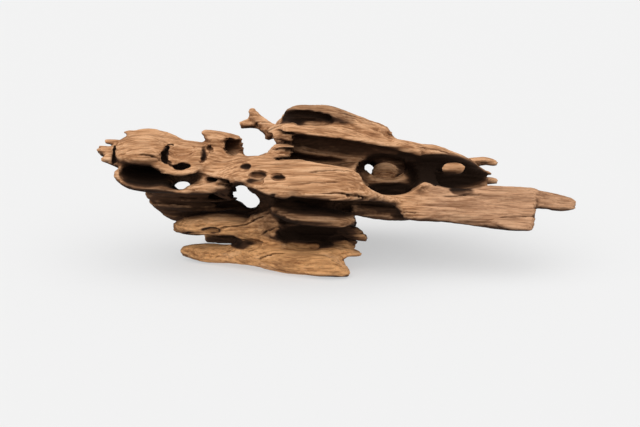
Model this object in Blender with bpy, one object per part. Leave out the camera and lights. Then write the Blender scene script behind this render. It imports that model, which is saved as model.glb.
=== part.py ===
"""A piece of driftwood: one eroded root of hard wood, hollowed by water into ledges, caves and a ring.

The grain runs along X. The foot blade is at the front (-Y), the broken block at the left (-X), and the
long flat slab points right (+X). It stands on three worn pads on the ground, z = 0.

The wood is built as it wore. Branches and ledges are lofted along the grain and fused into one body,
and water-worn hollows are cut out of it. Stations are in millimetres.
"""

import math

import bmesh
import bpy
from mathutils import Matrix, Vector, noise

MM = 0.001

# ---- driving dimensions ----
FUSE_VOXEL = 2.6 * MM  # how finely the branches are fused
WORN_VOXEL = 2.4 * MM  # how finely the cut body is rounded off
FACE_SHARE = 0.1  # of the worn body's faces that are kept
GROUND_CUT_DEPTH = 40 * MM  # the block that saws the feet level
RING_SIDES = 30  # points round each lofted section
RING_STEP = 5 * MM  # spacing of the sections along a branch
SECTION_POWER = 0.86  # below 1 makes a section boxier than an ellipse
GRAIN_SWELL = 0.22  # how far sections swell and shrink, as a share of their size
GRAIN_LENGTH = 75 * MM  # of one swell along the grain
GRAIN_WIDTH = 13 * MM  # of one swell across the grain

WOOD_COLOUR = (0.42, 0.25, 0.13, 1.0)
WOOD_ROUGHNESS = 0.82

# Each branch is a list of stations along its run:
# (x, y, z, half depth, half height, roll in degrees), where a positive roll lifts the far edge.
BRANCHES = {
    # the broken block at the left
    "left_roof": [
        (-215, -16, 109, 20, 8, 8),
        (-202, -15, 112, 26, 10, 8),
        (-185, -14, 113, 30, 11, 8),
        (-165, -14, 110, 28, 9, 8),
        (-145, -14, 107, 27, 9, 8),
        (-120, -18, 104, 26, 9, 10),
        (-95, -30, 97, 22, 8, 20),
        (-64, -44, 98, 22, 8, 28),
    ],
    "left_body": [
        (-212, 0, 97, 24, 12, 6),
        (-198, 0, 97, 34, 16, 6),
        (-165, 0, 95, 36, 17, 6),
        (-125, -2, 91, 34, 16, 6),
        (-92, -6, 80, 32, 17, 6),
        (-60, -4, 80, 34, 22, 6),
    ],
    "left_lip": [
        (-215, -38, 99, 7, 5, 0),
        (-202, -40, 89, 14, 5, 0),
        (-180, -40, 85, 16, 5, 0),
        (-155, -40, 82, 14, 3.5, 0),
        (-143, -41, 81, 10, 5, 0),
        (-125, -38, 85, 12, 7, 0),
        (-108, -30, 86, 12, 7, 0),
    ],
    "left_finger": [
        (-235, -6, 113, 5, 3.5, 0),
        (-226, -6, 109, 8, 6, 0),
        (-208, -8, 105, 12, 9, 0),
    ],
    "left_finger_low": [
        (-229, -20, 107, 4, 2.5, 0),
        (-221, -20, 104, 6, 4, 0),
        (-206, -20, 101, 9, 7, 0),
    ],
    "left_nub": [(-224, 12, 111, 4, 3, 0), (-208, 8, 110, 7, 6, 0)],
    "left_spike": [(-206, 10, 123, 4, 2.5, 0), (-190, 8, 117, 9, 7, 0)],
    "horn_plate": [
        (-134, 2, 127, 4, 2.2, 0),
        (-126, 2, 125.5, 8, 2.8, 0),
        (-112, 4, 122.5, 11, 2.8, 0),
        (-95, 8, 118, 9, 2.2, 0),
    ],
    "horn_stem": [(-121, 0, 124, 7, 7, 0), (-119, -4, 113, 9, 10, 0), (-115, -8, 104, 10, 14, 0)],
    "horn_back": [
        (-104, 14, 118, 5, 11, 0),
        (-104, 16, 107, 6, 11, 0),
        (-102, 16, 96, 9, 9, 0),
        (-103, 14, 90, 9, 8, 0),
    ],
    # the dark shell under the block, and the ridge along its foot
    "shell": [
        (-189, 0, 66, 5, 3, 0),
        (-179, 2, 58, 8, 8, 0),
        (-165, 4, 51, 9, 15, 0),
        (-145, 8, 50, 10, 18, 0),
        (-110, 12, 53, 10, 22, 0),
        (-70, 12, 54, 14, 26, 0),
    ],
    "shell_rib_high": [
        (-180, -10, 68, 4, 3, 0),
        (-160, -8, 66, 7, 3.5, 0),
        (-125, -4, 66, 9, 4, 0),
    ],
    "shell_rib_low": [(-176, -8, 55, 3, 2.5, 0), (-155, -6, 54, 7, 3.5, 0), (-118, 0, 54, 9, 4, 0)],
    "shell_top": [(-186, 0, 72, 10, 8, 0), (-160, 4, 74, 14, 12, 0), (-110, 8, 76, 14, 14, 0)],
    "low_ridge": [
        (-161, -18, 35, 6, 4, 0),
        (-146, -22, 38, 10, 8, 0),
        (-120, -26, 41, 14, 9, 10),
        (-95, -30, 40, 15, 8, 10),
        (-72, -36, 38, 16, 7, 10),
        (-48, -44, 40, 16, 12, 0),
    ],
    "low_ridge_beard": [
        (-158, -10, 30, 5, 4, 0),
        (-140, -12, 30, 7, 6, 0),
        (-124, -12, 33, 8, 7, 0),
    ],
    "low_block": [(-92, -40, 35, 6, 4.5, 0), (-78, -42, 34, 9, 5.5, 0), (-64, -44, 35, 10, 7, 0)],
    "low_web": [(-84, -34, 44, 7, 9, 0), (-70, -40, 46, 9, 13, 0), (-52, -48, 48, 10, 15, 0)],
    "rear_left_foot": [
        (-134, 42, 4, 7, 6, 0),
        (-110, 40, 7, 12, 9, 0),
        (-80, 34, 12, 16, 12, 0),
        (-50, 24, 20, 22, 18, 0),
    ],
    # the foot blade that lies on the ground
    "foot": [
        (-154, -14, 8, 7, 5, 0),
        (-135, -21, 9, 10, 8.5, 0),
        (-100, -33, 11, 13, 10, 0),
        (-70, -45, 16, 16, 14, 0),
        (-40, -55, 12, 17, 12, 0),
        (-10, -63, 11, 15, 12, 0),
        (8, -68, 5, 8, 5, 0),
        (14, -69, 3, 4, 3, 0),
    ],
    "foot_knuckle": [(-100, -30, 20, 7, 5, 0), (-84, -36, 26, 10, 8, 0), (-66, -44, 30, 11, 9, 0)],
    "foot_tip": [(-15, -52, 22, 12, 7, 0), (8, -50, 20, 9, 5, 0), (26, -50, 17, 4, 2, 0)],
    "fin": [(-2, -30, 44, 8, 9, 0), (10, -32, 35, 5, 8, 0), (26, -36, 25, 3.5, 3, 0)],
    "fin_root": [(2, -34, 30, 7, 9, 0), (14, -42, 18, 6, 5, 0)],
    # the trunk and its ledges
    "trunk": [
        (-74, 8, 54, 34, 28, 0),
        (-50, 6, 56, 54, 40, 0),
        (-20, 4, 53, 60, 43, 0),
        (0, 4, 53, 54, 41, 0),
        (12, 4, 56, 44, 36, 0),
    ],
    "ledge": [
        (-132, -32, 95, 9, 4, 22),
        (-112, -36, 98, 16, 5, 24),
        (-90, -46, 101, 19, 7, 28),
        (-60, -55, 98, 21, 8.5, 32),
        (-25, -60, 96, 25, 8.5, 32),
        (10, -60, 92, 22, 8.5, 32),
        (28, -59, 85, 12, 7, 30),
        (46, -52, 76, 7, 5, 20),
        (60, -46, 69, 6, 4.5, 20),
    ],
    "ledge_corner": [(-78, -66, 92, 4, 3, 0), (-66, -70, 89, 7, 5, 10), (-46, -72, 86, 9, 6, 20)],
    "under_ring": [
        (14, -44, 62, 8, 6, 0),
        (40, -36, 55, 9, 6, 10),
        (66, -29, 51, 9, 6, 20),
        (88, -26, 53, 9, 6, 20),
    ],
    "middle_ridge": [
        (-62, -50, 66, 9, 5, 0),
        (-40, -60, 62, 14, 6, 10),
        (0, -62, 58, 14, 6, 10),
        (17, -56, 56, 8, 5, 0),
    ],
    # the upper mass and the rail that runs right from it
    "upper": [
        (-58, 14, 120, 16, 13, 0),
        (-46, 17, 119, 24, 16, 0),
        (-10, 17, 114, 26, 17, 0),
        (30, 17, 108, 24, 14, 0),
        (58, 12, 107, 18, 9, 0),
        (78, 8, 104, 14, 8, 0),
        (98, 6, 103, 12, 8, 0),
        (118, 6, 98, 10, 6, 0),
        (136, 6, 89, 8, 5, 0),
        (149, 5, 82, 2, 1.5, 0),
    ],
    "upper_brow": [
        (-52, -4, 136, 10, 3, 0),
        (-44, -5, 136, 17, 3.5, 4),
        (-15, -5, 131, 18, 3.5, 6),
        (20, -5, 124, 16, 3.5, 6),
        (55, -4, 117, 13, 4, 6),
        (84, -1, 109, 11, 4.5, 10),
    ],
    "upper_neck": [
        (-54, 22, 106, 18, 14, 0),
        (-20, 24, 102, 24, 18, 0),
        (20, 24, 98, 24, 18, 0),
        (50, 20, 96, 18, 12, 0),
    ],
    "crown": [
        (-50, 18, 140, 8, 3.5, 0),
        (-40, 18, 143, 13, 3.5, 5),
        (-20, 20, 142, 15, 4, 8),
        (0, 20, 139, 15, 4.5, 10),
        (30, 20, 128, 12, 5, 10),
        (44, 18, 122, 7, 3.5, 0),
        (52, 18, 117, 3, 2.5, 0),
    ],
    "crown_chip": [(34, 22, 128, 6, 4, 0), (46, 22, 125, 5, 4, 0), (56, 22, 117, 4, 3, 0)],
    "crown_back": [
        (-46, 34, 127, 7, 12, 0),
        (-20, 36, 126, 8, 15, 0),
        (10, 36, 122, 8, 14, 0),
        (40, 34, 114, 7, 8, 0),
    ],
    "crown_left": [(-47, 20, 141, 9, 5, 0), (-43, 22, 120, 12, 8, 0)],
    "lump_a": [(-68, -8, 131, 4, 2.5, 0), (-58, -6, 132, 7, 4, 0), (-44, -6, 131, 9, 5, 0)],
    "lump_b": [(-66, -14, 121, 5, 3, 0), (-60, -16, 123, 7, 4.5, 0), (-44, -12, 127, 8, 5, 0)],
    "lump_d": [(-60, -20, 126, 4, 3, 0), (-52, -20, 128, 6, 4, 0), (-42, -16, 129, 8, 5, 0)],
    "lump_wall": [(-46, -14, 132, 5, 4, 0), (-48, -18, 122, 5, 6, 0), (-50, -18, 112, 6, 6, 0)],
    "lump_c": [(-67, -20, 109, 6, 3.5, 0), (-59, -20, 112, 8, 4.5, 0), (-46, -16, 110, 9, 6, 0)],
    "fork_stem": [(-50, 40, 112, 10, 9, 0), (-66, 47, 117, 6, 5, 0), (-79, 54, 123, 5, 5, 0)],
    "fork_up": [(-77, 54, 122, 5, 5, 0), (-84, 56, 133, 3, 3, 0)],
    "fork_left": [(-77, 54, 122, 5, 5, 0), (-95, 56, 118, 3.5, 3, 0)],
    "fork_stub": [(-62, 44, 116, 7, 5, 0), (-71, 46, 107, 4, 4, 0)],
    # the ring block, its dark web and the slab that points right
    "ring_block": [
        (-14, 4, 76, 40, 18, 0),
        (12, 8, 77, 48, 24, 0),
        (40, 8, 77, 52, 27, 0),
        (72, 8, 76, 50, 26, 0),
        (94, 14, 76, 38, 21, 0),
    ],
    "web": [
        (78, 10, 84, 8, 20, 0),
        (110, 11, 80, 7, 20, 0),
        (136, 8, 74, 5, 16, 0),
        (150, 4, 68, 3, 9, 0),
    ],
    "web_floor": [(84, -4, 66, 16, 6, 10), (115, -4, 63, 14, 5, 10), (152, -6, 62, 12, 4, 10)],
    "slab": [
        (58, -45, 70, 9, 5, 40),
        (66, -42, 69, 19, 6.5, 42),
        (92, -37, 68, 26, 7, 42),
        (125, -36, 64, 25, 7, 42),
        (155, -35, 61, 25, 7, 40),
        (185, -35, 59, 25, 6, 40),
        (195, -36, 59, 22, 5, 40),
    ],
    "slab_tip": [
        (150, -24, 66, 10, 6, 30),
        (190, -22, 65, 12, 6, 30),
        (216, -22, 61, 11, 5, 30),
        (230, -22, 60, 9.5, 4, 30),
        (237, -22, 58, 6, 3, 30),
    ],
    "slab_heel": [(152, -52, 51, 4, 2.5, 0), (168, -53, 49, 8, 4, 20), (190, -53, 48, 8, 4, 20)],
    # the far side
    "rear_branch": [
        (0, 48, 62, 24, 22, 0),
        (40, 54, 62, 18, 16, 0),
        (80, 55, 62, 18, 15, 0),
        (110, 55, 68, 17, 12, 0),
        (138, 56, 68, 14, 11, 0),
    ],
    "rear_stub_top": [(128, 56, 75, 9, 6, 0), (150, 58, 80, 5, 4.5, 0), (166, 58, 77, 4, 3.5, 0)],
    "rear_stub_low": [(130, 56, 62, 9, 6, 0), (148, 58, 60, 6, 5, 0), (168, 58, 59, 4, 3, 0)],
    "rear_web": [(30, 46, 86, 8, 16, 0), (60, 50, 86, 8, 18, 0), (92, 48, 84, 8, 12, 0)],
    "rear_middle_foot": [
        (-16, 46, 42, 26, 26, 0),
        (-12, 74, 20, 18, 18, 0),
        (-8, 92, 2, 14, 13, 0),
    ],
    "rear_buttress": [(-52, 50, 40, 20, 18, 0), (-44, 72, 22, 12, 12, 0), (-30, 86, 6, 10, 8, 0)],
    "back_ridge_high": [
        (-130, 24, 86, 10, 8, 0),
        (-92, 36, 76, 14, 10, 0),
        (-40, 54, 86, 18, 12, 0),
        (20, 58, 84, 16, 12, 0),
        (70, 56, 76, 14, 10, 0),
    ],
    "back_ridge_low": [
        (-100, 40, 40, 10, 10, 0),
        (-50, 62, 46, 16, 14, 0),
        (10, 66, 44, 16, 14, 0),
        (60, 66, 46, 12, 10, 0),
    ],
}

# Water-worn caves: (centre, half sizes, turn about Y in degrees, roll about X in degrees)
CAVES = {
    "long_cave": ((-186, -50, 95), (26, 46, 8.5), 3, 0),
    "cave_pocket": ((-150, -42, 90), (14, 25, 5.5), 0, 0),
    "roof_scoop": ((-151, -27, 120), (17, 16, 13), 0, -25),
    "crescent_notch": ((-167, -38, 114), (5, 12, 9), 25, 0),
    "arch_groove": ((-104, -44, 91), (26, 17, 4.5), 0, 0),
    "horn_hollow": ((-103, -8, 111), (7.5, 14, 7), 0, 0),
    "shell_groove": ((-140, -14, 61), (40, 12, 3), 0, 0),
    "edge_groove": ((-14, -76, 74), (50, 34, 8), 3, 0),
    "foot_cove": ((-22, -70, 38), (42, 34, 12), 2, 0),
    "side_cove": ((46, -28, 31), (28, 54, 15), 0, 0),
    "crown_cave": ((-27, -6, 140.5), (31, 27, 6.5), 6, -12),
    "crown_slot": ((38, -2, 124), (32, 14, 2.5), 16, 0),
    "brow_groove": ((-4, -25, 114.5), (74, 29, 12), 9, 0),
    "ring_bowl": ((51, -26, 90), (33, 60, 18), 6, -10),
    "ring_trough": ((52, -16, 67), (25, 18, 12), 0, 0),
    "ring_sky": ((56, 33, 96), (24, 11, 26), 0, 0),
    "ring_crease": ((50, -60, 60), (14, 22, 5), 10, 0),
    "web_cove": ((110, -18, 90), (46, 21, 13), 8, 0),
    "slab_slit": ((119, -30, 78), (10, 9, 2.5), 4, 30),
    "back_cove_a": ((-20, 92, 68), (60, 26, 12), 0, 0),
    "back_cove_b": ((-140, 44, 98), (34, 14, 9), 0, 0),
    "back_cove_c": ((60, 80, 60), (40, 12, 7), 0, 0),
    "back_cove_d": ((-30, 70, 112), (40, 22, 9), 4, 0),
}

# Holes and slits: centreline stations, as for a branch.
HOLES = {
    "roof_slit": [(-150, -48, 108, 11, 3, 0), (-150, -36, 102, 10, 3, 0), (-150, -18, 94, 8, 3, 0)],
    "small_window": [(-152, -80, 98, 10, 4.5, 0), (-152, 70, 49, 10, 5, 0)],
    "tall_window": [(-95, -80, 90, 9.5, 8.5, 0), (-94, 90, 35, 9.5, 8.5, 0)],
    "tall_window_low": [(-86, -80, 82, 10, 8, 0), (-84, 90, 27, 10, 8, 0)],
    "ring_window": [(33, -60, 109, 6, 6, 0), (33, 100, 57, 8, 7, 0)],
    "web_window": [(117, -40, 103, 12, 5.5, 0), (117, 28, 81, 12, 6, 0)],
}

# Wood that stands inside the hollows, fused in after they are cut.
INNER_WOOD = {
    "ring_rim": [
        (22, 14, 90, 5, 3, 0),
        (30, 10, 80, 6, 3, 0),
        (46, 8, 74, 7, 3, 0),
        (62, 9, 75, 7, 3, 0),
        (74, 13, 83, 6, 3, 0),
        (80, 16, 94, 5, 4, 0),
    ],
    "ring_knot": [(38, 34, 72, 10, 8, 0), (50, 32, 74, 13, 11, 0), (64, 34, 70, 10, 8, 0)],
    "slit_rim": [
        (-176, -34, 104, 6, 4, 0),
        (-164, -42, 99.5, 6, 3, 0),
        (-151, -45, 98, 6, 3, 0),
        (-139, -43, 101, 6, 3, 0),
        (-130, -34, 106, 6, 4, 0),
    ],
    "lip_knob": [
        (-146, -44, 83, 3, 3, 0),
        (-135, -47, 83, 7, 5, 0),
        (-120, -46, 84, 9, 5.5, 0),
        (-104, -38, 85, 8, 5, 0),
    ],
}


def spline(values, t):
    """The value at t (0 to 1 over the whole list) of a smooth curve through the values, each a tuple."""
    last = len(values) - 1
    i = min(int(t * last), last - 1)
    u = t * last - i
    a, b, c, d = (values[min(max(k, 0), last)] for k in (i - 1, i, i + 1, i + 2))
    return [
        0.5 * (2 * q + (r - p) * u + (2 * p - 5 * q + 4 * r - s) * u**2 + (3 * q - p - 3 * r + s) * u**3)
        for p, q, r, s in zip(a, b, c, d)
    ]


def section(centre, along, half_depth, half_height, roll):
    """The points of one closed section, square to the run of the branch."""
    side = Vector((0, 0, 1)).cross(along)
    side = side.normalized() if side.length > 0.2 else Vector((0, 1, 0))
    rise = along.cross(side).normalized()
    turn = Matrix.Rotation(math.radians(roll), 3, along)
    side, rise = turn @ side, turn @ rise
    points = []
    for k in range(RING_SIDES):
        angle = 2 * math.pi * k / RING_SIDES
        c, s = math.cos(angle), math.sin(angle)
        across = math.copysign(abs(c) ** SECTION_POWER, c) * half_depth
        up = math.copysign(abs(s) ** SECTION_POWER, s) * half_height
        point = centre + side * across + rise * up
        grain = Vector((point.x / GRAIN_LENGTH, point.y / GRAIN_WIDTH, point.z / GRAIN_WIDTH))
        swell = 1 + GRAIN_SWELL * noise.noise(grain)
        points.append(centre + (point - centre) * swell)
    return points


def add_loft(bm, stations):
    """Adds one closed body, lofted through the stations, to the mesh."""
    stations = [tuple(v * MM for v in s[:5]) + (s[5],) for s in stations]
    places = [Vector(s[:3]) for s in stations]
    length = sum((b - a).length for a, b in zip(places, places[1:]))
    count = max(3, round(length / RING_STEP))
    rings = []
    for n in range(count + 1):
        t = n / count
        x, y, z, half_depth, half_height, roll = spline(stations, t)
        ahead = Vector(spline(stations, min(t + 0.02, 1))[:3])
        behind = Vector(spline(stations, max(t - 0.02, 0))[:3])
        points = section(Vector((x, y, z)), (ahead - behind).normalized(), half_depth, half_height, roll)
        rings.append([bm.verts.new(p) for p in points])
    for near, far in zip(rings, rings[1:]):
        for k in range(RING_SIDES):
            j = (k + 1) % RING_SIDES
            bm.faces.new((near[k], near[j], far[j], far[k]))
    bm.faces.new(rings[0][::-1])
    bm.faces.new(rings[-1])


def add_cave(bm, centre, half_sizes, turn, roll):
    """Adds one ellipsoid to the mesh."""
    place = (
        Matrix.Translation(Vector(centre) * MM)
        @ Matrix.Rotation(math.radians(turn), 4, "Y")
        @ Matrix.Rotation(math.radians(roll), 4, "X")
        @ Matrix.Diagonal((*(h * MM for h in half_sizes), 1))
    )
    bmesh.ops.create_icosphere(bm, subdivisions=3, radius=1, matrix=place)


def finish_mesh(bm, name):
    """Turns the bmesh into an object in the scene, its faces pointing out."""
    bmesh.ops.recalc_face_normals(bm, faces=bm.faces)
    mesh = bpy.data.meshes.new(name)
    bm.to_mesh(mesh)
    bm.free()
    made = bpy.data.objects.new(name, mesh)
    bpy.context.scene.collection.objects.link(made)
    return made


def hide_helper(helper):
    """Keeps a helper body out of the finished object."""
    helper.hide_render = True
    helper.display_type = "WIRE"
    return helper


def make_cutter():
    """Every cave and hole as one hidden body, fused so that overlapping ones cut cleanly."""
    bm = bmesh.new()
    for cave in CAVES.values():
        add_cave(bm, *cave)
    for stations in HOLES.values():
        add_loft(bm, stations)
    cutter = hide_helper(finish_mesh(bm, "worn_hollows"))
    fuse = cutter.modifiers.new("fuse", "REMESH")
    fuse.mode = "VOXEL"
    fuse.voxel_size = FUSE_VOXEL
    return cutter


def make_inner_wood():
    """The rims and knots inside the hollows, as one hidden body."""
    bm = bmesh.new()
    for stations in INNER_WOOD.values():
        add_loft(bm, stations)
    inner = hide_helper(finish_mesh(bm, "inner_wood"))
    fuse = inner.modifiers.new("fuse", "REMESH")
    fuse.mode = "VOXEL"
    fuse.voxel_size = FUSE_VOXEL
    return inner


def make_ground_block():
    """The hidden block below z = 0 that levels the feet."""
    bm = bmesh.new()
    bmesh.ops.create_cube(bm, size=1, matrix=Matrix.Diagonal((0.7, 0.5, GROUND_CUT_DEPTH, 1)))
    bmesh.ops.translate(bm, verts=bm.verts, vec=(0, 0, -GROUND_CUT_DEPTH / 2))
    return hide_helper(finish_mesh(bm, "ground_block"))


def wood_material():
    wood = bpy.data.materials.new("driftwood")
    wood.use_nodes = True
    shader = wood.node_tree.nodes["Principled BSDF"]
    shader.inputs["Base Color"].default_value = WOOD_COLOUR
    shader.inputs["Roughness"].default_value = WOOD_ROUGHNESS
    shader.inputs["Metallic"].default_value = 0
    return wood


def combine(body, helper, operation, name):
    """Cuts the helper from the body, or unites the two. The helper then moves with the body."""
    helper.parent = body
    boolean = body.modifiers.new(name, "BOOLEAN")
    boolean.operation = operation
    boolean.solver = "EXACT"
    boolean.object = helper


def voxel_remesh(body, name, size):
    remesh = body.modifiers.new(name, "REMESH")
    remesh.mode = "VOXEL"
    remesh.voxel_size = size
    remesh.use_smooth_shade = True


def make_driftwood():
    bm = bmesh.new()
    for stations in BRANCHES.values():
        add_loft(bm, stations)
    body = finish_mesh(bm, "driftwood")
    body.data.materials.append(wood_material())
    voxel_remesh(body, "fuse_branches", FUSE_VOXEL)
    combine(body, make_cutter(), "DIFFERENCE", "wear_hollows")
    combine(body, make_inner_wood(), "UNION", "fill_hollows")
    voxel_remesh(body, "round_edges", WORN_VOXEL)
    thin = body.modifiers.new("fewer_faces", "DECIMATE")
    thin.ratio = FACE_SHARE
    combine(body, make_ground_block(), "DIFFERENCE", "level_feet")
    return body


def centre_on_origin(body):
    """Moves the wood level, so that the origin is below the middle of it."""
    bpy.context.view_layer.update()
    corners = body.evaluated_get(bpy.context.evaluated_depsgraph_get()).bound_box
    middle = (Vector(corners[0]) + Vector(corners[6])) / 2
    body.location = (-middle.x, -middle.y, 0)


def main():
    for old in list(bpy.data.objects):
        bpy.data.objects.remove(old)
    centre_on_origin(make_driftwood())


main()
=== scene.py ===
"""Driftwood root: builds the weathered wood around its solid model, and sets it on a pale studio floor."""

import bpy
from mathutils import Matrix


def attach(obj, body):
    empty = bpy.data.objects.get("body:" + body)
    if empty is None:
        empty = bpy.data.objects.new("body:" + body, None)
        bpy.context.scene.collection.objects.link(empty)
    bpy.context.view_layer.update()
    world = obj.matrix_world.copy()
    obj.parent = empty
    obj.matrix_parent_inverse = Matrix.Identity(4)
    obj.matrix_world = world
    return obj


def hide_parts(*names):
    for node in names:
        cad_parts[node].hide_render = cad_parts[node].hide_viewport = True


bl_info = {
    "name": "Driftwood Root",
    "version": (1, 0, 0),
    "blender": (4, 5, 0),
    "location": "3D View > Sidebar > Driftwood",
    "description": "Weathers a solid driftwood root and sets it in a plain studio",
    "category": "Add Mesh",
}

import itertools
import math
from types import SimpleNamespace

import bmesh
import bpy
import numpy as np
from bpy.props import FloatProperty, FloatVectorProperty, PointerProperty
from mathutils import Vector
from mathutils.bvhtree import BVHTree

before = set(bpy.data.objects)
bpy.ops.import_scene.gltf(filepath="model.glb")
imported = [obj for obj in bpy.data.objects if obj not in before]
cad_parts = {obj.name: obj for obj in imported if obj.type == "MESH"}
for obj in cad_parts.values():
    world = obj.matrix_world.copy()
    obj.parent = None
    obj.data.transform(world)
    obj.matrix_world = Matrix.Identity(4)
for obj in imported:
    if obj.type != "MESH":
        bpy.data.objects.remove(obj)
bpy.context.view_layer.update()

MM = 0.001
NODE = "driftwood"
PIECE = "weathered_driftwood"

# ---------------------------------------------------------------- noise over the wood

GOLDEN_TURN = math.pi * (3 - math.sqrt(5))

# How the noise picks one of its directions for each cell.
DIRECTIONS = 256
SHUFFLE_STEP = 73
SHUFFLE_START = 19
CELL_MIX = (73856093, 19349663, 83492791)
SEED_MIX = 7919
SEED_SHIFT = 17.31
NOISE_GAIN = 1.6

# Feature sizes of each pattern along X, Y and Z, in millimetres, and its seed. The grain runs along X.
PATTERNS = {
    "roughness": ((70, 26, 22), 1),
    "swell": ((60, 17, 15), 2),
    "small_swell": ((30, 8, 8), 3),
    "layer_drift": ((75, 22, 22), 4),
    "layer_wobble": ((28, 7, 7), 5),
    "groove": ((62, 10.5, 9), 6),
    "fine_groove": ((44, 4.6, 4.4), 7),
    "crack_drift": ((120, 40, 40), 8),
    "crack_place": ((50, 16, 16), 9),
    "fibre": ((28, 2.7, 2.7), 10),
    "fine_fibre": ((16, 2.0, 2.0), 11),
    "chip": ((8, 4.5, 4.5), 12),
    "flake_drift": ((85, 30, 30), 13),
    "flake_wobble": ((30, 6, 9), 14),
    "crack_wobble": ((16, 5, 5), 15),
}


def spiral(height):
    """Unit vectors at the given heights, each turned by the golden angle from the last."""
    turn = np.arange(len(height)) * GOLDEN_TURN
    ring = np.sqrt(1 - height**2)
    return np.stack([ring * np.cos(turn), ring * np.sin(turn), height], axis=1)


def gradient_table():
    """The noise's directions, spread over a sphere, in a fixed shuffled order."""
    n = np.arange(DIRECTIONS)
    table = spiral(1 - 2 * (n + 0.5) / DIRECTIONS)
    return table[(n * SHUFFLE_STEP + SHUFFLE_START) % DIRECTIONS]


GRADIENTS = gradient_table()


def pattern(points, name):
    """One of PATTERNS at each point, as smooth noise from about -1 to 1."""
    lengths, seed = PATTERNS[name]
    p = points / (np.array(lengths) * MM) + seed * SEED_SHIFT
    cell = np.floor(p).astype(np.int64)
    f = p - cell
    ease = f * f * f * (f * (f * 6 - 15) + 10)
    total = np.zeros(len(points))
    for corner in itertools.product((0, 1), repeat=3):
        mixed = np.bitwise_xor.reduce((cell + corner) * CELL_MIX, axis=1)
        pick = (mixed ^ (mixed >> 13) ^ (seed * SEED_MIX)) & (DIRECTIONS - 1)
        share = np.prod(np.where(np.array(corner, bool), ease, 1 - ease), axis=1)
        total += share * np.einsum("ij,ij->i", GRADIENTS[pick], f - corner)
    return total * NOISE_GAIN


def ramp(values, low, high):
    """0 below low, 1 above high, and a smooth rise between them."""
    t = np.clip((values - low) / (high - low), 0, 1)
    return t * t * (3 - 2 * t)


def sawtooth(values, rise):
    """A slow rise over the given share of each unit and a quick fall over the rest, from -0.5 to 0.5."""
    tooth = values - np.floor(values)
    return np.where(tooth < rise, tooth / rise, (1 - tooth) / (1 - rise)) - 0.5


def furrow(values, narrowness):
    """1 along the lines where the values pass through 0, and 0 away from them."""
    return np.clip(1 - np.abs(values) * narrowness, 0, 1) ** 2


# ---------------------------------------------------------------- lofted splinters and slots

# The zero point of the places below, in the solid model's frame, in millimetres.
DATUM = Vector((-0.6, -9.7, 0))
LOFT_SIDES = 14
LOFT_STEP = 2.5 * MM
LOOK_AHEAD = 0.02
STRAIGHT_UP = 0.2
SLOT_VOXEL = 1.5 * MM

# Wood added to the solid. Stations are (x, y, z, half depth, half height) in millimetres.
SPLINTERS = {
    # the broken end at the left
    "finger_a": [
        (-235, -5, 112, 4, 3.5),
        (-228, -6, 109, 6, 5.5),
        (-210, -8, 105, 8, 8),
    ],
    "finger_b": [
        (-229, 6, 116, 3, 2.2),
        (-221, 6, 115, 4, 3),
        (-208, 6, 113, 6, 4),
    ],
    "finger_c": [
        (-230, -20, 106, 3, 2.2),
        (-221, -22, 104, 5, 3.5),
        (-206, -25, 101, 7, 5),
    ],
    "roof_spike_a": [
        (-211, 10, 124, 1.6, 1.4),
        (-203, 10, 124, 3, 2.2),
        (-190, 8, 119, 5, 4),
    ],
    "roof_spike_b": [
        (-200, 12, 124, 2, 1.8),
        (-186, 12, 125, 4, 2.5),
        (-168, 10, 120, 6, 4),
        (-150, 8, 112, 5, 4),
    ],
    # the broken corner where the ledge starts
    "ledge_splinter_b": [
        (-92, -56, 97, 1.8, 1.5),
        (-80, -62, 97, 3, 2.5),
        (-66, -68, 94, 5, 3),
        (-46, -72, 89, 4, 3),
    ],
    # the upper mass
    "upper_splinter_a": [
        (-61, -3, 136, 3, 2.5),
        (-54, -4, 136, 5, 4),
        (-40, -6, 136, 7, 5),
    ],
    "upper_splinter_b": [
        (-62, -13, 127, 3, 2.5),
        (-55, -14, 127, 5, 4),
        (-42, -16, 126, 7, 5),
    ],
    "upper_splinter_c": [
        (-62, -19, 117, 3, 2.5),
        (-55, -20, 117, 5, 4),
        (-42, -18, 117, 7, 5),
    ],
    "crown_splinter_a": [
        (30, 18, 131, 4, 2.5),
        (45, 18, 127, 2.5, 2),
        (53, 18, 122, 1.6, 1.5),
    ],
    "crown_splinter_b": [
        (24, 8, 129, 3, 2),
        (40, 7, 124, 3, 2),
        (50, 7, 118, 1.6, 1.5),
    ],
    "fork_high": [
        (-64, 46, 116, 7, 6.5),
        (-78, 54, 123, 7, 7),
        (-84, 56, 131, 5, 5),
        (-84.5, 56, 136, 3.6, 3.2),
    ],
    "fork_left": [
        (-74, 54, 121, 6, 6.5),
        (-86, 56, 121, 6, 5.5),
        (-97, 56, 118.5, 4, 3.4),
    ],
    "fin_tip": [
        (2, -40, 42, 6, 9),
        (14, -42, 38, 5, 7),
        (24, -42, 33, 4, 5),
        (30, -42, 30, 2, 2),
    ],
    "rail_tip": [
        (138, 6, 89, 4, 3),
        (148, 5, 85, 2.4, 1.8),
        (155, 5, 82, 1.6, 1.4),
    ],
    # the shell's ridges
    "shell_ridge_a": [
        (-179, -6, 70, 1.8, 1.4),
        (-160, -12, 70, 4, 1.8),
        (-120, -14, 71, 4, 2),
        (-98, -10, 70, 2, 1.4),
    ],
    "shell_ridge_b": [
        (-171, -4, 61, 1.8, 1.4),
        (-150, -9, 60, 3, 1.7),
        (-118, -10, 60, 4, 1.8),
        (-98, -6, 61, 2, 1.4),
    ],
    "shell_ridge_c": [
        (-164, -2, 49, 1.8, 1.4),
        (-145, -6, 48, 3, 1.7),
        (-118, -6, 49, 4, 1.8),
        (-98, -2, 50, 2, 1.4),
    ],
}

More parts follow.
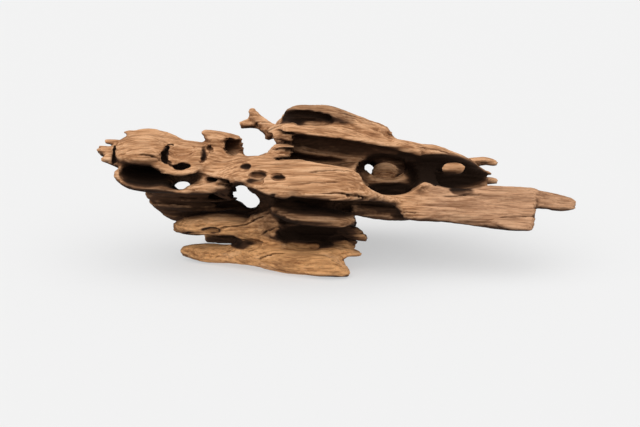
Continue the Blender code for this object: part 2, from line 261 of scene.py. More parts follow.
# Wood cut away from the solid, with stations of the same kind.
SLOTS = {
    # the round patch in the left roof
    "patch_crescent": [
        (-160, -9, 116, 2, 3.5),
        (-166, -17, 114, 2.6, 4.5),
        (-169, -26, 110.5, 3, 4.5),
        (-166, -35, 107, 2.6, 4),
        (-160, -39, 104, 2, 3),
    ],
    "patch_slit": [
        (-150, -46, 107, 10, 3),
        (-150, -34, 101, 9, 3),
        (-150, -22, 96, 8, 3),
    ],
    "patch_crack_a": [
        (-132, -8, 116, 1.8, 3.5),
        (-128, -18, 114.5, 2.4, 4.5),
        (-128, -30, 110.5, 2.4, 4.5),
        (-133, -38, 107, 1.8, 3),
    ],
    "patch_crack_b": [
        (-141, -6, 117, 1.2, 2.5),
        (-138, -14, 114, 1.6, 3.5),
        (-137, -22, 110, 1.2, 2.5),
    ],
    "patch_crack_c": [
        (-126, -8, 115, 1.4, 2.5),
        (-123, -16, 113, 2, 3.5),
        (-122, -24, 109, 1.4, 2.5),
    ],
    # the clefts of the broken corner
    "ledge_cleft_a": [
        (-92, -46, 108, 2.5, 2),
        (-87, -48.5, 107.5, 4, 3.5),
        (-83, -51, 107, 2.5, 2),
    ],
    "ledge_cleft_b": [
        (-97, -51, 106, 2, 2),
        (-91, -53, 105.3, 4, 3.5),
        (-85, -55, 105, 2, 2),
    ],
    "ledge_cleft_c": [
        (-85, -60, 103, 2.5, 2.5),
        (-76, -61, 102, 6, 5),
        (-67, -62, 102, 3, 3),
    ],
    "ledge_cleft_d": [
        (-87, -65, 99.5, 2, 2),
        (-79, -66.5, 97.5, 5, 4),
        (-70, -69, 96.5, 2.5, 2.5),
    ],
    "ledge_cleft_e": [
        (-64, -64, 101.5, 2, 2),
        (-56, -66, 100.5, 5, 4),
        (-48, -68, 100, 2, 2),
    ],
    "low_ridge_pit": [
        (-131, -40, 37, 4, 2),
        (-123, -39, 38, 6, 3),
        (-115, -39, 38, 4, 2),
    ],
    "under_block": [
        (-97, -46, 30, 5, 2),
        (-84, -48, 29, 6, 3),
        (-70, -50, 29, 4, 2),
    ],
    # between the splinters of the upper mass
    "upper_gap_a": [
        (-66, -14, 132, 6, 1.4),
        (-54, -18, 132, 8, 2),
        (-40, -22, 131, 6, 1.4),
    ],
    "upper_gap_b": [
        (-68, -20, 122, 6, 1.4),
        (-54, -22, 122, 8, 2.2),
        (-40, -24, 121, 6, 1.4),
    ],
    "crown_deep": [
        (-68, 0, 141, 12, 6),
        (-48, 2, 142, 14, 6),
        (-26, 6, 141, 14, 5),
        (-4, 8, 138, 10, 3),
    ],
    "left_break": [
        (-216, 6, 122, 1.6, 4),
        (-217, -12, 113, 2, 5),
        (-217, -28, 103, 2, 4),
    ],
    "knot_top": [
        (36, 18, 94, 10, 6),
        (52, 19, 92, 10, 7),
        (68, 18, 94, 10, 6),
    ],
    "knot_cleft": [
        (63, 10, 86, 2.4, 7),
        (64, 20, 86, 3, 8),
        (65, 32, 86, 2.4, 7),
    ],
    "side_notch": [
        (13, -66, 46, 4, 3),
        (17, -40, 45, 4, 3),
        (19, -10, 44, 4, 3),
    ],
    # the slab
    "slab_crack": [
        (96, -60, 60, 2, 1.4),
        (130, -63, 57, 3, 1.6),
        (165, -60, 55, 2, 1.4),
    ],
    "slab_cleft": [
        (104, -34, 79, 2, 1.4),
        (117, -36, 77, 5, 2.4),
        (131, -36, 75, 2, 1.4),
    ],
}

# Where the wood is painted paler (+) with painted light or darker (-) with painted shade than its light alone
# makes it: centre, half sizes, change.
PAINTED_LIGHT_AND_SHADE_SPOTS = {
    "web": ((110, -8, 87), (52, 28, 23), -0.8),
    "lip": ((-184, -48, 86), (34, 18, 11), -0.46),
    "cave": ((-186, -30, 93), (30, 24, 9), -0.3),
    "middle_ridge": ((-22, -64, 60), (48, 16, 12), -0.22),
    "side": ((-10, -40, 40), (40, 30, 14), -0.15),
    # painted light on the foot, which lies in the shade of the mass above it
    "foot": ((-72, -46, 12), (110, 44, 24), 0.45),
    "low_ridge": ((-112, -32, 42), (62, 24, 11), 0.15),
    # painted light on the knot and the rim inside the shaded ring
    "ring_knot": ((49, 26, 80), (14, 15, 9), 0.95),
    "ring_rim": ((50, 13, 77.5), (28, 11, 5), 0.95),
    "ring_roof": ((52, 24, 100), (36, 34, 14), -0.5),
    "ring_bowl": ((52, -6, 62), (42, 27, 13.5), -0.9),
    "crown": ((-8, 12, 145), (70, 30, 14), -0.52),
    "rail": ((72, 0, 104), (15, 16, 9), -0.5),
    "crown_mouth": ((-44, 8, 138), (22, 16, 9), -0.6),
    "beard": ((-98, -40, 25), (26, 20, 5.5), -0.8),
    # a painted darkening of the lower side
    "side_darkening": ((-24, -52, 34), (40, 26, 10), -0.55),
    "horn": ((-112, -6, 131), (22, 14, 8), 0.3),
    "crescent": ((-167, -24, 110), (4.2, 17, 9), -0.7),
    "patch_cracks": ((-130, -23, 112), (3.6, 18, 8), -0.55),
    "cleft_a": ((-88, -50, 106.5), (7, 7, 3.5), -0.75),
    "cleft_c": ((-76, -62, 101.5), (10, 7, 5), -0.75),
    "cleft_d": ((-79, -66, 97.5), (9, 6, 4), -0.75),
    "cleft_e": ((-56, -66, 100), (7.5, 6, 3.5), -0.75),
    "ridge_pits": ((-124, -42, 38), (13, 8, 4), -0.7),
    # a painted shadow under the brow
    "brow_shadow": ((16, -26, 116), (32, 12, 6), -0.45),
    "slab_fold": ((122, -30, 75), (17, 9, 4), -0.6),
    "left_edge": ((-218, -10, 104), (14, 26, 12), -0.3),
}


def placed(point):
    """A point of the lists above, in metres in the solid model's frame."""
    return (Vector(point) + DATUM) * MM


def curve_through(values, t):
    """The value at t, from 0 to 1, of a smooth curve through a list of tuples."""
    last = len(values) - 1
    i = min(int(t * last), last - 1)
    u = t * last - i
    a, b, c, d = (values[min(max(k, 0), last)] for k in (i - 1, i, i + 1, i + 2))
    return [
        0.5 * (2 * q + (r - p) * u + (2 * p - 5 * q + 4 * r - s) * u**2 + (3 * q - p - 3 * r + s) * u**3)
        for p, q, r, s in zip(a, b, c, d)
    ]


def add_loft(bm, stations):
    """Adds one closed body, lofted through the stations."""
    stations = [(*placed(s[:3]), s[3] * MM, s[4] * MM) for s in stations]
    places = [Vector(s[:3]) for s in stations]
    length = sum((b - a).length for a, b in zip(places, places[1:]))
    count = max(3, round(length / LOFT_STEP))
    rings = []
    for n in range(count + 1):
        t = n / count
        x, y, z, half_depth, half_height = curve_through(stations, t)
        ahead = Vector(curve_through(stations, min(t + LOOK_AHEAD, 1))[:3])
        behind = Vector(curve_through(stations, max(t - LOOK_AHEAD, 0))[:3])
        along = (ahead - behind).normalized()
        side = Vector((0, 0, 1)).cross(along)
        side = side.normalized() if side.length > STRAIGHT_UP else Vector((0, 1, 0))
        rise = along.cross(side).normalized()
        ring = []
        for k in range(LOFT_SIDES):
            angle = 2 * math.pi * k / LOFT_SIDES
            across = side * half_depth * math.cos(angle) + rise * half_height * math.sin(angle)
            ring.append(bm.verts.new(Vector((x, y, z)) + across))
        rings.append(ring)
    for near, far in zip(rings, rings[1:]):
        for k in range(LOFT_SIDES):
            j = (k + 1) % LOFT_SIDES
            bm.faces.new((near[k], near[j], far[j], far[k]))
    bm.faces.new(rings[0][::-1])
    bm.faces.new(rings[-1])


def linked(name, data):
    """A new object in the scene."""
    made = bpy.data.objects.new(name, data)
    bpy.context.scene.collection.objects.link(made)
    return made


def mesh_from(bm, name):
    """A new mesh from a bmesh, which is used up."""
    mesh = bpy.data.meshes.new(name)
    bm.to_mesh(mesh)
    bm.free()
    return mesh


def loft_group(groups, name):
    """One object that holds every loft of a group."""
    bm = bmesh.new()
    for stations in groups.values():
        add_loft(bm, stations)
    bmesh.ops.recalc_face_normals(bm, faces=bm.faces)
    return linked(name, mesh_from(bm, name))


def swap_mesh(piece, mesh):
    """Gives the piece another mesh and removes its old one."""
    old = piece.data
    piece.data = mesh
    bpy.data.meshes.remove(old)


def drop(piece):
    """Removes an object and its mesh."""
    mesh = piece.data
    bpy.data.objects.remove(piece)
    bpy.data.meshes.remove(mesh)


def remeshed(piece, size):
    """The piece's evaluated mesh, after a voxel remesh of the given size."""
    voxels = piece.modifiers.new("voxels", "REMESH")
    voxels.mode = "VOXEL"
    voxels.voxel_size = size
    bpy.context.view_layer.update()
    made = bpy.data.meshes.new_from_object(piece.evaluated_get(bpy.context.evaluated_depsgraph_get()))
    piece.modifiers.remove(voxels)
    return made


def connected_part(start, left):
    """Every vertex that edges join to the start. They are taken out of left."""
    part = {start}
    edge = [start]
    while edge:
        vert = edge.pop()
        for near in (e.other_vert(vert) for e in vert.link_edges):
            if near in left:
                left.discard(near)
                part.add(near)
                edge.append(near)
    return part


def keep_largest_part(mesh):
    """Takes away every loose bit of the mesh but the largest."""
    bm = bmesh.new()
    bm.from_mesh(mesh)
    left = set(bm.verts)
    parts = []
    while left:
        parts.append(connected_part(left.pop(), left))
    parts.sort(key=len)
    for part in parts[:-1]:
        bmesh.ops.delete(bm, geom=list(part), context="VERTS")
    bm.to_mesh(mesh)
    bm.free()


def rough_body(voxel):
    """The solid with its splinters fused on and its slots cut, as one even mesh."""
    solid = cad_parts[NODE]
    body = linked("rough_body", solid.data.copy())
    body.matrix_world = solid.matrix_world

    splinters = loft_group(SPLINTERS, "splinters")
    bm = bmesh.new()
    bm.from_mesh(body.data)
    bm.from_mesh(splinters.data)
    swap_mesh(body, mesh_from(bm, "rough_body"))
    drop(splinters)
    swap_mesh(body, remeshed(body, voxel))

    slots = loft_group(SLOTS, "slots")
    swap_mesh(slots, remeshed(slots, SLOT_VOXEL))
    cut = body.modifiers.new("slots", "BOOLEAN")
    cut.operation = "DIFFERENCE"
    cut.solver = "EXACT"
    cut.object = slots
    mesh = remeshed(body, voxel)
    drop(slots)
    drop(body)
    keep_largest_part(mesh)
    return mesh


# ---------------------------------------------------------------- wearing the surface

# How far rays start off the surface, and how each point's set of rays is turned from the last point's.
START_INSIDE = 0.4 * MM
START_OUTSIDE = 1 * MM
RAY_TURN = 2.39996
FAINT_SHARE = 0.02
LARGEST_SHARE = 3.0

# One round of smoothing shrinks the surface by the first share and swells it by the second.
SMOOTH_ROUNDS = 6
SMOOTH_SHRINK = 0.5
SMOOTH_SWELL = 0.52

# How many times each measure is mixed with its neighbours'.
THICKNESS_BLUR = 6
SLOPE_BLUR = 14
SKY_BLUR = 5
CREST_BLUR = 10
EDGE_BLUR = 3
EDGE_GAIN = 0.35

THICKNESS_REACH = 20 * MM
THIN_WOOD = 2.5 * MM
THICK_WOOD = 11 * MM
STEEP_NORMAL = 0.35
LEVEL_NORMAL = 0.85

# The share of a layer or a flake that rises slowly before it breaks off.
LAYER_RISE = 0.86
FLAKE_RISE = 0.88

SKY_RAYS = 20
SKY_REACH = 130 * MM
SPOT_CORE = 0.6
SPOT_EDGE = 1.1
CREST_HEIGHT = 1.6 * MM
WARM_HEIGHTS = (25 * MM, 58 * MM)
WARM_ENDS = (0, 60 * MM)
GREY_STARTS = (40 * MM, 85 * MM)
GREY_FRONT = (0, 25 * MM)


class Surface:
    """A mesh's points and normals as arrays, with ways to wear it."""

    def __init__(self, mesh):
        self.mesh = mesh
        n = len(mesh.vertices)
        flat = np.empty(n * 3)
        mesh.vertices.foreach_get("co", flat)
        self.points = flat.reshape(-1, 3)
        pairs = np.empty(len(mesh.edges) * 2, dtype=np.int32)
        mesh.edges.foreach_get("vertices", pairs)
        self.pairs = pairs.reshape(-1, 2)
        self.degree = np.maximum(np.bincount(pairs, minlength=n), 1)
        self.crack = np.zeros(n)
        self.refresh()

    def refresh(self):
        """Writes the points to the mesh and reads the normals back."""
        self.mesh.vertices.foreach_set("co", self.points.astype(np.float32).ravel())
        self.mesh.update()
        flat = np.empty(len(self.points) * 3, dtype=np.float32)
        self.mesh.vertex_normals.foreach_get("vector", flat)
        self.normals = flat.reshape(-1, 3).astype(float)

    def average(self, values):
        """Each point's mean of its neighbours' values."""
        columns = values.reshape(len(values), -1)
        total = np.zeros(columns.shape)
        a, b = self.pairs[:, 0], self.pairs[:, 1]
        for k in range(columns.shape[1]):
            total[:, k] = np.bincount(a, weights=columns[b, k], minlength=len(values))
            total[:, k] += np.bincount(b, weights=columns[a, k], minlength=len(values))
        return (total / self.degree[:, None]).reshape(values.shape)

    def blurred(self, values, rounds):
        """The values, each mixed with its neighbours' a number of times."""
        for _ in range(rounds):
            values = (values + self.average(values)) / 2
        return values

    def smooth(self, rounds):
        """Evens out the voxel steps. Each second move swells the mesh again, so thin wood keeps its size."""
        for _ in range(rounds):
            self.points += SMOOTH_SHRINK * (self.average(self.points) - self.points)
            self.points -= SMOOTH_SWELL * (self.average(self.points) - self.points)
        self.refresh()

    def push(self, distance):
        """Moves each point along its normal, by a distance in metres."""
        self.points += self.normals * distance[:, None]
        self.refresh()

    def tree(self):
        """The surface as triangles that rays can hit."""
        self.mesh.calc_loop_triangles()
        corners = np.empty(len(self.mesh.loop_triangles) * 3, dtype=np.int32)
        self.mesh.loop_triangles.foreach_get("vertices", corners)
        return BVHTree.FromPolygons(self.points.tolist(), corners.reshape(-1, 3).tolist())

    def thickness(self, reach):
        """How much wood lies under each point, up to reach."""
        tree = self.tree()
        found = np.full(len(self.points), reach)
        for i, (p, n) in enumerate(zip(self.points, self.normals)):
            place, _, _, distance = tree.ray_cast(Vector(p - n * START_INSIDE), Vector(-n), reach)
            if place is not None:
                found[i] = distance
        return self.blurred(found, THICKNESS_BLUR)

    def skylight(self, rays, reach):
        """The light that reaches each point from the sky overhead: 1 on open level wood, 0 deep in a cave."""
        tree = self.tree()
        sky = spiral(np.sqrt(1 - (np.arange(rays) + 0.5) / rays))
        seen = np.zeros(len(self.points))
        for i, (p, normal) in enumerate(zip(self.points, self.normals)):
            c, s = math.cos(i * RAY_TURN), math.sin(i * RAY_TURN)
            start = Vector(p + normal * START_OUTSIDE)
            way = np.stack([sky[:, 0] * c - sky[:, 1] * s, sky[:, 0] * s + sky[:, 1] * c, sky[:, 2]], axis=1)
            total = 0.0
            for direction, share in zip(way, way @ normal / way[:, 2]):
                if share > FAINT_SHARE and tree.ray_cast(start, Vector(direction), reach)[0] is None:
                    total += min(share, LARGEST_SHARE)
            seen[i] = total / rays
        return self.blurred(seen, SKY_BLUR)

    def keep(self, name, values):
        """Stores one number for each point, for the shader."""
        layer = self.mesh.attributes.new(name, "FLOAT", "POINT")
        layer.data.foreach_set("value", values.astype(np.float32))


def wear(surface, shape):
    """Gives the smooth body its swells, broken layers, flakes, grooves, cracks and fibres."""
    depth = ramp(surface.thickness(THICKNESS_REACH), THIN_WOOD, THICK_WOOD)
    slope = np.abs(surface.blurred(surface.normals[:, 2], SLOPE_BLUR))
    steep = 1 - ramp(slope, STEEP_NORMAL, LEVEL_NORMAL)
    rough = 0.5 + 0.5 * pattern(surface.points, "roughness")

    swell = pattern(surface.points, "swell") + 0.5 * pattern(surface.points, "small_swell")
    surface.push(shape.swell * depth * swell)
    worn = depth * (0.3 + 0.9 * rough)
    surface.push(shape.layer_depth * worn * (0.08 + 0.92 * steep) * layers(surface, shape))
    surface.push(shape.flake_depth * depth * (0.4 + 0.8 * rough) * (1 - 0.7 * steep) * flakes(surface, shape))
    surface.push(-shape.groove_depth * worn * grooves(surface, steep))
    surface.crack = cracks(surface, shape)
    surface.push(-shape.crack_depth * depth * surface.crack)

    fibre = pattern(surface.points, "fibre") + 0.6 * pattern(surface.points, "fine_fibre")
    chip = shape.chip_depth * pattern(surface.points, "chip") * rough
    surface.push(depth * (shape.fibre_depth * fibre * (0.5 + rough) + chip))

    sharp = surface.points - surface.blurred(surface.points, EDGE_BLUR)
    surface.points += EDGE_GAIN * depth[:, None] * sharp
    surface.points[:, 2] = np.maximum(surface.points[:, 2], 0)
    surface.refresh()


def layers(surface, shape):
    """The broken layers that step down the wood's sides."""
    p = surface.points
    height = p[:, 2] + 0.07 * p[:, 0] + 0.25 * p[:, 1]
    height = height + 8 * MM * pattern(p, "layer_drift") + 1.8 * MM * pattern(p, "layer_wobble")
    return sawtooth(height / shape.layer_height, LAYER_RISE)


def flakes(surface, shape):
    """The low steps where flakes have come off level wood."""
    p = surface.points
    across = p[:, 1] / shape.flake_width + 1.3 * pattern(p, "flake_drift") + 0.3 * pattern(p, "flake_wobble")
    return sawtooth(across, FLAKE_RISE)


def grooves(surface, steep):
    """The grooves worn along the grain, deepest on steep wood."""
    wide = furrow(pattern(surface.points, "groove"), 3.6)
    fine = furrow(pattern(surface.points, "fine_groove"), 3.2)
    return (0.2 + 0.8 * steep) * wide + (0.2 + 0.3 * steep) * fine


def cracks(surface, shape):
    """The drying cracks, which come and go along evenly spaced lines of grain."""
    p = surface.points
    across = (p[:, 1] + 0.8 * p[:, 2]) / shape.crack_spacing
    across = across + 0.7 * pattern(p, "crack_drift") + 0.07 * pattern(p, "crack_wobble")
    line = np.abs(across - np.round(across))
    return (1 - ramp(line, 0.0, 0.07)) * ramp(pattern(p, "crack_place"), 0.1, 0.38)


def paint(surface):
    """Works out where the wood is bleached, warm or grey, and how much painted light or painted shade it gets
    from the sky light and the spots, and stores it for the shader.
    """
    p = surface.points
    crest = np.einsum("ij,ij->i", p - surface.blurred(p, CREST_BLUR), surface.normals)
    # The sky light overhead, with the spots' painted light and painted shade added, sets how much painted
    # shade the shader lays on the wood.
    sky = surface.skylight(SKY_RAYS, SKY_REACH)
    for centre, half_sizes, change in PAINTED_LIGHT_AND_SHADE_SPOTS.values():
        away = (p - np.array(placed(centre))) / (np.array(half_sizes) * MM)
        sky += change * (1 - ramp(np.linalg.norm(away, axis=1), SPOT_CORE, SPOT_EDGE))
    low = 1 - ramp(p[:, 2] + 0.15 * p[:, 1], *WARM_HEIGHTS)
    left = 1 - ramp(p[:, 0], *WARM_ENDS)
    right = ramp(p[:, 0] - 0.3 * p[:, 2], *GREY_STARTS)
    front = ramp(-p[:, 1], *GREY_FRONT)
    surface.keep("sky", np.clip(sky, 0, 1.5))
    surface.keep("crest", np.clip(0.5 + crest / CREST_HEIGHT, 0, 1))
    surface.keep("crack", surface.blurred(surface.crack, 1))
    surface.keep("warm", low * left)
    surface.keep("grey", right * front)


# ---------------------------------------------------------------- shader helpers


class Value:
    """One number that changes over a surface. Arithmetic on it adds Math nodes."""

    def __init__(self, maker, socket):
        self.maker = maker
        self.socket = socket

    def _math(self, operation, *values, clamp=False):
        settings = {"operation": operation, "use_clamp": clamp}
        return self.maker.node("ShaderNodeMath", settings, dict(enumerate(values)))

    def __add__(self, other):
        return self._math("ADD", self, other)

    def __sub__(self, other):
        return self._math("SUBTRACT", self, other)

    def __mul__(self, other):
        return self._math("MULTIPLY", self, other)

    def __radd__(self, other):
        return self._math("ADD", other, self)

    def __rsub__(self, other):
        return self._math("SUBTRACT", other, self)

    def __rmul__(self, other):
        return self._math("MULTIPLY", other, self)

    def kept(self):
        """The number held between 0 and 1."""
        return self._math("ADD", self, 0.0, clamp=True)

    def between(self, low, high):
        """0 at low, 1 at high, with an even rise between them."""
        return ((self - low) * (1 / (high - low))).kept()


class Maker:
    """Adds nodes to one new material."""

    def __init__(self, name):
        self.material = bpy.data.materials.new(name)
        self.material.use_nodes = True
        self.tree = self.material.node_tree
        self.tree.nodes.clear()

    def node(self, kind, settings=None, inputs=None, output=0):
        """Makes one node: its settings first, then its sockets' values or links. Gives back one output."""
        made = self.tree.nodes.new(kind)
        for name, value in (settings or {}).items():
            setattr(made, name, value)
        for name, value in (inputs or {}).items():
            if isinstance(value, Value):
                self.tree.links.new(value.socket, made.inputs[name])
            else:
                made.inputs[name].default_value = value
        return Value(self, made.outputs[output]) if made.outputs else None

    def blend(self, share, first, second, how="MIX"):
        """A Mix of two colours."""
        settings = {"data_type": "RGBA", "blend_type": how, "clamp_factor": True}
        first, second = (c if isinstance(c, Value) else (*c, 1.0) for c in (first, second))
        return self.node("ShaderNodeMix", settings, {0: share, 6: first, 7: second}, output=2)

    def stored(self, name):
        """A number stored on the mesh for each point."""
        return self.node("ShaderNodeAttribute", {"attribute_name": name}, output=2)

    def surface(self, inputs):
        """Ends the material in one shader with these inputs, and gives it back."""
        shader = self.node("ShaderNodeBsdfPrincipled", None, inputs)
        self.node("ShaderNodeOutputMaterial", None, {"Surface": shader})
        return self.material


# ---------------------------------------------------------------- the wood's finish

# Noise drawn out along the grain. Each row is its feature size along the grain and across it, in millimetres,
# then its detail, roughness and distortion.
GRAIN = {
    "broad": (80, 24, 3, 0.55, 0.0),
    "bands": (95, 6.5, 4, 0.6, 0.3),
    "streaks": (60, 1.9, 3, 0.6, 0.2),
    "fibres": (20, 0.75, 2, 0.6, 0.0),
    "blotches": (34, 9, 4, 0.65, 0.5),
    "specks": (3.6, 2.0, 3, 0.65, 0.0),
    "pores": (2.6, 0.8, 1, 0.55, 0.0),
}
MARKS = ("sky", "crest", "crack", "warm", "grey")
BUMP_DEPTH = 0.55 * MM


def grain_noise(maker, place, along, across, detail, rough, distortion):
    """One row of GRAIN as a texture."""
    stretch = tuple(1 / (size * MM) for size in (along, across, across))
    stretched = maker.node("ShaderNodeVectorMath", {"operation": "MULTIPLY"}, {0: place, 1: stretch})
    return maker.node(
        "ShaderNodeTexNoise",
        {"noise_dimensions": "3D"},
        {"Vector": stretched, "Scale": 1.0, "Detail": detail, "Roughness": rough, "Distortion": distortion},
    )


def open_wood(maker, grain, marks, colours):
    """The colour of wood that lies in the open: bleached crests, tan bands and brown fibres."""
    tone = grain.bands * 0.6 + grain.streaks * 0.75 + grain.broad * 0.4 + (marks.crest - 0.5) * 0.3
    light = tone.between(0.64, 1.02)
    wood = maker.blend(light, colours.fibre, colours.tan)
    wood = maker.blend(tone.between(0.84, 1.14), wood, colours.bleached)
    wood = maker.blend(marks.warm * 0.85, wood, maker.blend(light, colours.warm_dark, colours.warm))
    wood = maker.blend(marks.grey * 0.8, wood, maker.blend(light, colours.slab_dark, colours.slab))
    dark_line = (1 - grain.streaks.between(0.32, 0.45)) * grain.bands.between(0.85, 0.35)
    wood = maker.blend(dark_line * 0.6, wood, colours.fibre)
    wood = maker.blend(grain.specks.between(0.58, 0.72) * 0.5, wood, colours.fibre)
    wood = maker.blend(grain.blotches.between(0.52, 0.67) * 0.5, wood, colours.fibre)
    wood = maker.blend(grain.blotches.between(0.46, 0.34) * 0.3, wood, colours.bleached)
    return maker.blend(grain.fibres.between(0.35, 0.7) * 0.3, wood, colours.bleached, "MULTIPLY")


def painted_shade_on_wood(maker, grain, marks, colours, wood):
    """Darkens the wood's colour with painted shade where little light reaches, and in the cracks."""
    reach = marks.sky + (grain.broad - 0.5) * 0.35 + (grain.bands - 0.5) * 0.25 + (marks.crest - 0.5) * 0.15
    # painted shade where little sky light reaches, and near-black painted shade deep in caves
    wood = maker.blend(1 - reach.between(0.22, 0.62), wood, colours.painted_shade)
    wood = maker.blend(1 - reach.between(0.02, 0.30), wood, colours.painted_hollow_shade)
    # painted shade in the cracks
    return maker.blend(marks.crack * 0.9, wood, colours.painted_hollow_shade)


def wood_finish(colours, finish):
    """The weathered wood: bleached crests, brown fibres, and painted shade in cracks and hollows."""
    maker = Maker("weathered_wood")
    place = maker.node("ShaderNodeTexCoord", output=3)
    grain = SimpleNamespace(**{name: grain_noise(maker, place, *row) for name, row in GRAIN.items()})
    marks = SimpleNamespace(**{name: maker.stored(name) for name in MARKS})
    wood = painted_shade_on_wood(maker, grain, marks, colours, open_wood(maker, grain, marks, colours))
    pits = grain.pores.between(0.62, 0.75) * 0.35
    height = grain.fibres * 0.42 + grain.streaks * 0.85 + grain.specks * 0.3 - pits
    relief = {"Strength": 0.9, "Distance": BUMP_DEPTH, "Height": height}
    return maker.surface(
        {
            "Base Color": wood,
            "Roughness": 0.93 - marks.crest * 0.16 * finish.polish + (grain.fibres - 0.5) * 0.12,
            "Normal": maker.node("ShaderNodeBump", None, relief),
            "Specular IOR Level": 0.1,
        }
    )


def pale_finish(shade, glow):
    """The plain matt floor of the studio, lit a little from below."""
    return Maker("pale_floor").surface(
        {
            "Base Color": (*shade, 1.0),
            "Roughness": 0.9,
            "Specular IOR Level": 0.1,
            "Emission Color": (1.0, 1.0, 1.0, 1.0),
            "Emission Strength": glow,
        }
    )


# ---------------------------------------------------------------- the user's settings


def length(name, description, default):
    """A size in metres."""
    return FloatProperty(
        name=name,
        description=description,
        default=default,
        min=0.0,
        precision=4,
        subtype="DISTANCE",
        unit="LENGTH",
    )


def colour(name, description, default):
    """A colour without an alpha."""
    return FloatVectorProperty(
        name=name,
        description=description,
        default=default,
        size=3,
        min=0.0,
        max=1.0,
        subtype="COLOR",
    )


def factor(name, description, default):
    """A plain number from 0 up."""
    return FloatProperty(name=name, description=description, default=default, min=0.0, soft_max=4.0)


def angle(name, description, degrees):
    """An angle, given in degrees."""
    return FloatProperty(name=name, description=description, default=math.radians(degrees), subtype="ANGLE")


class DriftwoodShape(bpy.types.PropertyGroup):
    mesh_size: length("Mesh size", "Size of the faces that the worn surface is made of", 1.3 * MM)
    swell: length("Swell", "How far the surface swells and sinks along the grain", 0.4 * MM)
    layer_height: length("Layer height", "Height of one broken layer of wood", 7.5 * MM)
    layer_depth: length("Layer depth", "How far each broken layer stands out", 1.5 * MM)
    flake_width: length("Flake width", "Width of one flake on level wood", 13 * MM)
    flake_depth: length("Flake depth", "Height of the flaked steps on level wood", 0.32 * MM)
    groove_depth: length("Groove depth", "Depth of the grooves worn along the grain", 0.65 * MM)
    crack_spacing: length("Crack spacing", "Distance between two lines of drying cracks", 15 * MM)
    crack_depth: length("Crack depth", "Depth of the drying cracks", 2.4 * MM)
    fibre_depth: length("Fibre depth", "Height of the raised fibres", 0.3 * MM)
    chip_depth: length("Chip depth", "Depth of the small chips between the fibres", 0.3 * MM)


class DriftwoodColours(bpy.types.PropertyGroup):
    bleached: colour("Bleached wood", "Crests that sun and water have bleached", (0.86, 0.54, 0.32))
    tan: colour("Tan wood", "The common colour of the open wood", (0.66, 0.345, 0.165))
    fibre: colour("Fibre", "Darker fibres between the crests", (0.24, 0.113, 0.053))
    warm: colour("Warm wood", "Heartwood near the ground", (0.86, 0.46, 0.19))
    warm_dark: colour("Warm fibre", "Darker fibres near the ground", (0.27, 0.115, 0.042))
    slab: colour("Slab", "The greyer wood of the long slab", (0.66, 0.39, 0.235))
    slab_dark: colour("Slab fibre", "Darker fibres of the long slab", (0.20, 0.105, 0.06))
    # Painted shade: the colour laid on sides that little sky light reaches.
    painted_shade: colour("Stained wood", "Sides that lie in the shade", (0.085, 0.040, 0.021))
    # Painted shade: the near-black colour laid in caves and cracks.
    painted_hollow_shade: colour("Hollows", "The insides of caves and cracks", (0.018, 0.009, 0.005))


class DriftwoodFinish(bpy.types.PropertyGroup):
    polish: factor("Polish", "How smooth the crests have worn", 1.0)


class StudioSettings(bpy.types.PropertyGroup):
    floor_colour: colour("Floor", "Colour of the studio floor", (0.36, 0.36, 0.36))
    floor_glow: factor("Floor glow", "Light that comes up through the floor", 0.5)
    key_strength: factor("Key light", "Strength of the soft light overhead", 2.1)
    key_spread: angle("Key spread", "How wide the soft light is", 110)
    fill_strength: factor("Fill", "Brightness of the light all round", 0.42)
    camera_distance: length("Camera distance", "From the camera to the point it looks at", 1.895)
    camera_height: angle("Camera height", "Angle of the camera above level", 18)


# ---------------------------------------------------------------- operators

FLOOR_RADIUS = 40
FLOOR_SIDES = 96
KEY_PLACE = (-0.2, -0.3, 1.9)
KEY_TARGET = Vector((0, 0, 0.06))
CAMERA_TARGET = Vector((-0.0166, -0.0651, 0.0608))
CAMERA_LENS = 110
CAMERA_SENSOR = 36
CAMERA_REACH = 100


class OBJECT_OT_driftwood_wood(bpy.types.Operator):
    """Builds the weathered wood from the solid model"""

    bl_idname = "object.driftwood_wood"
    bl_label = "Weathered wood"

    def execute(self, context):
        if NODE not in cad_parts:
            raise RuntimeError("The solid model has no driftwood")
        scene = context.scene
        size = scene.driftwood_shape.mesh_size * 1.0
        mesh = rough_body(size)
        surface = Surface(mesh)
        surface.smooth(SMOOTH_ROUNDS)
        wear(surface, scene.driftwood_shape)
        paint(surface)
        mesh.materials.clear()
        mesh.materials.append(wood_finish(scene.driftwood_colours, scene.driftwood_finish))
        mesh.shade_smooth()
        wood = linked(PIECE, mesh)
        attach(wood, "root")
        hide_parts(NODE)
        return {"FINISHED"}


class OBJECT_OT_driftwood_studio(bpy.types.Operator):
    """Sets the floor, the lights and the camera"""

    bl_idname = "object.driftwood_studio"
    bl_label = "Studio"

    def execute(self, context):
        studio = context.scene.driftwood_studio
        make_floor(studio)
        make_lights(context.scene, studio)
        make_camera(context.scene, studio)
        return {"FINISHED"}


def make_floor(studio):
    """A wide round floor at the height of the wood's rests."""
    bm = bmesh.new()
    bmesh.ops.create_circle(bm, cap_ends=True, segments=FLOOR_SIDES, radius=FLOOR_RADIUS)
    mesh = mesh_from(bm, "studio_floor")
    mesh.materials.append(pale_finish(studio.floor_colour, studio.floor_glow))
    linked("studio_floor", mesh)


def make_lights(scene, studio):
    """An even light all round and one wide soft light overhead."""
    world = bpy.data.worlds.new("studio_light")
    world.use_nodes = True
    sky = world.node_tree.nodes["Background"]
    sky.inputs["Color"].default_value = (1.0, 1.0, 1.0, 1.0)
    sky.inputs["Strength"].default_value = studio.fill_strength
    scene.world = world
    lamp = bpy.data.lights.new("key_light", "SUN")
    lamp.energy = studio.key_strength
    lamp.angle = studio.key_spread
    key = linked("key_light", lamp)
    key.location = KEY_PLACE
    aim(key, KEY_TARGET)


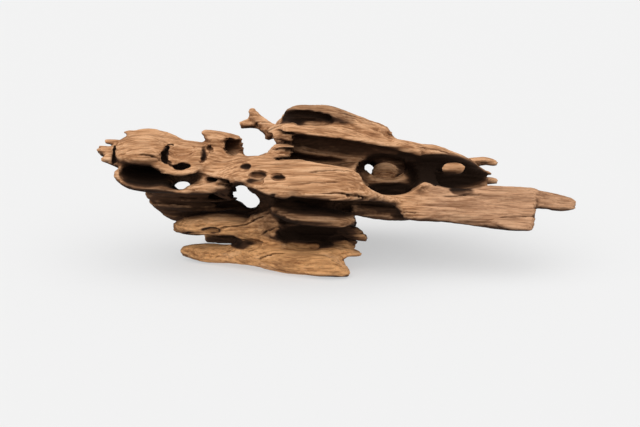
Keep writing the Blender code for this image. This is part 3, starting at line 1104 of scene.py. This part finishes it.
def make_camera(scene, studio):
    """A long lens in front of the wood, a little above it."""
    lens = bpy.data.cameras.new("camera")
    lens.lens = CAMERA_LENS
    lens.sensor_width = CAMERA_SENSOR
    lens.clip_end = CAMERA_REACH
    camera = linked("camera", lens)
    up = studio.camera_height
    camera.location = CAMERA_TARGET + Vector((0, -math.cos(up), math.sin(up))) * studio.camera_distance
    aim(camera, CAMERA_TARGET)
    scene.camera = camera
    scene.view_settings.view_transform = "Standard"


def aim(thing, target):
    """Turns a light or camera towards a point."""
    thing.rotation_mode = "QUATERNION"
    thing.rotation_quaternion = (target - thing.location).to_track_quat("-Z", "Y")


class VIEW3D_PT_driftwood(bpy.types.Panel):
    """The driftwood's settings and steps"""

    bl_idname = "VIEW3D_PT_driftwood"
    bl_label = "Driftwood"
    bl_space_type = "VIEW_3D"
    bl_region_type = "UI"
    bl_category = "Driftwood"

    def draw(self, context):
        scene = context.scene
        wood_groups = (scene.driftwood_shape, scene.driftwood_colours, scene.driftwood_finish)
        steps = (
            (OBJECT_OT_driftwood_wood, wood_groups),
            (OBJECT_OT_driftwood_studio, (scene.driftwood_studio,)),
        )
        for step, groups in steps:
            box = self.layout.box()
            box.operator(step.bl_idname)
            for group in groups:
                for name in group.__annotations__:
                    box.prop(group, name)


GROUPS = {
    "driftwood_shape": DriftwoodShape,
    "driftwood_colours": DriftwoodColours,
    "driftwood_finish": DriftwoodFinish,
    "driftwood_studio": StudioSettings,
}
CLASSES = (*GROUPS.values(), OBJECT_OT_driftwood_wood, OBJECT_OT_driftwood_studio, VIEW3D_PT_driftwood)


def register():
    """Adds the classes and their settings to Blender."""
    for cls in CLASSES:
        bpy.utils.register_class(cls)
    for name, group in GROUPS.items():
        setattr(bpy.types.Scene, name, PointerProperty(type=group))


def unregister():
    """Takes the settings and classes away again."""
    for name in GROUPS:
        delattr(bpy.types.Scene, name)
    for cls in reversed(CLASSES):
        bpy.utils.unregister_class(cls)


def main():
    """Builds the wood and the studio."""
    register()
    bpy.ops.object.driftwood_wood()
    bpy.ops.object.driftwood_studio()


if __name__ == "__main__":
    main()
